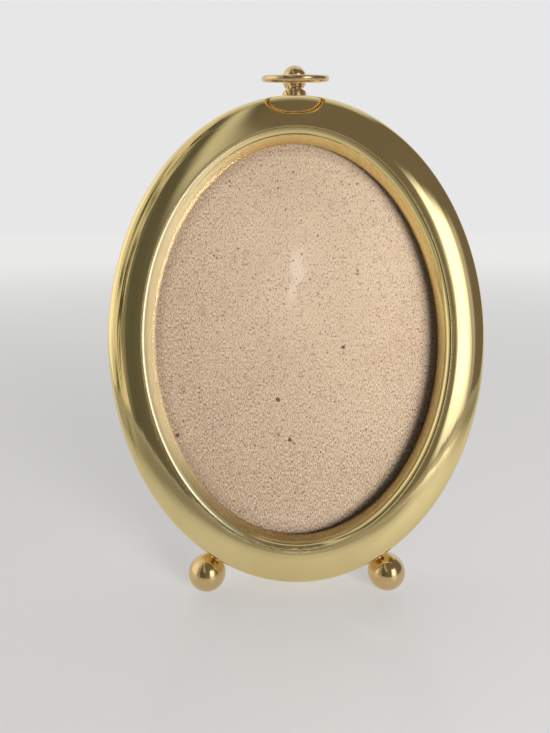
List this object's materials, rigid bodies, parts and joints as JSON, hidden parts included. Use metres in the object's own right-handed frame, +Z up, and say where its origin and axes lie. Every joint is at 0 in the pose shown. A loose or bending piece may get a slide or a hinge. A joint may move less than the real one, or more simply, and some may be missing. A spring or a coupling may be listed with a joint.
{
  "type": "oval photo frame",
  "caption": "Oval brass photo frame with a glazed recess, standing on ball feet and a folding easel leg, with a hanging ring at the top.",
  "frame": {"origin": "middle of the standing frame's box, on the floor", "axes": "+Z up, front towards -Y leaning back 15 degrees, +X to the viewer's right"},
  "size_m": [0.1108, 0.0597, 0.1529],
  "materials": {
    "polished_brass": "polished",
    "plain_brass": "satin",
    "steel": "satin",
    "clear_glass": "polished",
    "chipboard": "matte",
    "packing_card": "matte",
    "hardboard": "matte",
    "covering_paper": "embossed matte"
  },
  "bodies": {
    "frame": {"front_moulding": "polished_brass", "sight_liner": "polished_brass", "hanger_stud": "polished_brass", "foot_ball_left": "polished_brass", "foot_ball_right": "polished_brass", "foot_collar_left": "polished_brass", "foot_collar_right": "polished_brass", "turn_button_rivets": "plain_brass", "hinge_upper_leaf": "plain_brass", "hinge_pin": "plain_brass", "hinge_upper_rivets": "plain_brass", "hanger_nut": "plain_brass", "hanger_washer": "plain_brass", "foot_screw_left": "steel", "foot_screw_right": "steel", "foot_washer_left": "steel", "foot_washer_right": "steel", "glass_pane": "clear_glass", "filler_board": "chipboard", "packing_board": "packing_card", "back_panel": "hardboard", "back_cover": "covering_paper"},
    "strut": {"strut_board": "hardboard", "strut_cover": "covering_paper", "hinge_lower_leaf": "plain_brass", "hinge_lower_rivets": "plain_brass"},
    "ring": {"hanger_ring": "polished_brass"},
    "button_upper_left": {"turn_button_upper_left": "plain_brass"},
    "button_upper_right": {"turn_button_upper_right": "plain_brass"},
    "button_lower_left": {"turn_button_lower_left": "plain_brass"},
    "button_lower_right": {"turn_button_lower_right": "plain_brass"}
  },
  "joints": [
    {"name": "strut_fold", "type": "hinge", "parent": "frame", "child": "strut", "pos_m": [0, 0.01187, 0.09564], "axis": [1, 0, 0], "range_deg": [-24, 0]},
    {"name": "ring_swing", "type": "hinge", "parent": "frame", "child": "ring", "pos_m": [0, 0.01485, 0.14925], "axis": [1, 0, 0], "range_deg": [-237, 23]},
    {"name": "button_upper_left_turn", "type": "hinge", "parent": "frame", "child": "button_upper_left", "pos_m": [-0.0351, 0.01443, 0.11333], "axis": [0, 0.9659, -0.2588], "continuous": true},
    {"name": "button_upper_right_turn", "type": "hinge", "parent": "frame", "child": "button_upper_right", "pos_m": [0.0351, 0.01443, 0.11333], "axis": [0, 0.9659, -0.2588], "continuous": true},
    {"name": "button_lower_left_turn", "type": "hinge", "parent": "frame", "child": "button_lower_left", "pos_m": [-0.0351, -0.00821, 0.02881], "axis": [0, 0.9659, -0.2588], "continuous": true},
    {"name": "button_lower_right_turn", "type": "hinge", "parent": "frame", "child": "button_lower_right", "pos_m": [0.0351, -0.00821, 0.02881], "axis": [0, 0.9659, -0.2588], "continuous": true}
  ]
}
